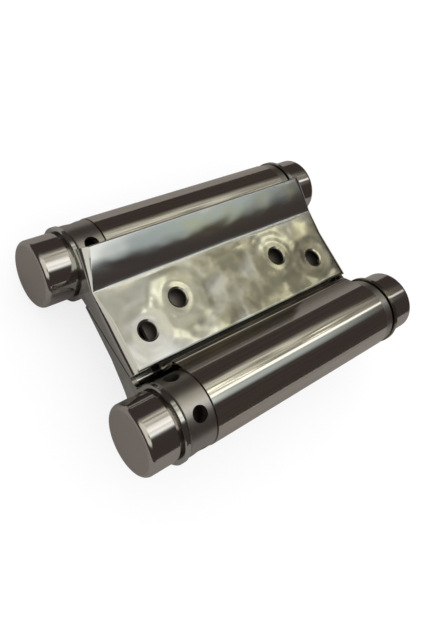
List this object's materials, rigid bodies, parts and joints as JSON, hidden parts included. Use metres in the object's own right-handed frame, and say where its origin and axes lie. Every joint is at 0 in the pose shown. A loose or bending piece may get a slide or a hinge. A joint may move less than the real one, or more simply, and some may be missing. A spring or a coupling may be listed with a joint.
{
  "type": "double action spring hinge",
  "caption": "Double action spring hinge: folded leaves turn on the spindles of parallel spring barrels, which one rolled sheet joins.",
  "frame": {"origin": "middle of the closed hinge, on the axis about which half a turn swaps its two sides", "axes": "+X along the barrels from the tension collars to the plain ends, +Y towards the door barrel, +Z out of the door leaf"},
  "size_m": [0.1, 0.07, 0.0302],
  "materials": {
    "leaf_steel": "polished stainless sheet",
    "barrel_steel": "mirror-polished stainless sheet",
    "collar_steel": "satin turned steel",
    "cap_steel": "turned steel, satin face",
    "spindle_steel": "ground bar",
    "spring_steel": "oiled spring wire",
    "washer_steel": "plain washer"
  },
  "bodies": {
    "frame": {"frame_leaf": "leaf_steel", "frame_spindle": "spindle_steel", "frame_adjuster_washer": "washer_steel", "frame_plug_washer": "washer_steel", "frame_adjuster_cap": "cap_steel", "frame_plain_cap": "cap_steel"},
    "web": {"barrel_web": "barrel_steel", "door_spring_plug": "collar_steel", "door_torsion_spring": "spring_steel", "frame_spring_plug": "collar_steel", "frame_torsion_spring": "spring_steel"},
    "door": {"door_leaf": "leaf_steel", "door_spindle": "spindle_steel", "door_adjuster_washer": "washer_steel", "door_plug_washer": "washer_steel", "door_adjuster_cap": "cap_steel", "door_plain_cap": "cap_steel"},
    "frame_collar": {"frame_tension_collar": "collar_steel"},
    "door_collar": {"door_tension_collar": "collar_steel"}
  },
  "joints": [
    {"name": "web_swing", "type": "hinge", "parent": "frame", "child": "web", "pos_m": [0, -0.0246, 0.00475], "axis": [1, 0, 0], "range_deg": [0, 110], "stiffness_Nm_per_rad": 0.8, "springref_deg": -17.19, "deforming": ["frame_torsion_spring"]},
    {"name": "door_swing", "type": "hinge", "parent": "web", "child": "door", "pos_m": [0, 0.0246, -0.00475], "axis": [-1, 0, 0], "range_deg": [0, 110], "stiffness_Nm_per_rad": 0.8, "springref_deg": -17.19, "deforming": ["door_torsion_spring"]},
    {"name": "frame_tension", "type": "hinge", "parent": "frame", "child": "frame_collar", "pos_m": [0, -0.0246, 0.00475], "axis": [-1, 0, 0], "range_deg": [0, 144], "stiffness_Nm_per_rad": 0.8, "deforming": ["frame_torsion_spring"]},
    {"name": "door_tension", "type": "hinge", "parent": "door", "child": "door_collar", "pos_m": [0, 0.0246, -0.00475], "axis": [-1, 0, 0], "range_deg": [0, 144], "stiffness_Nm_per_rad": 0.8, "deforming": ["door_torsion_spring"]}
  ]
}
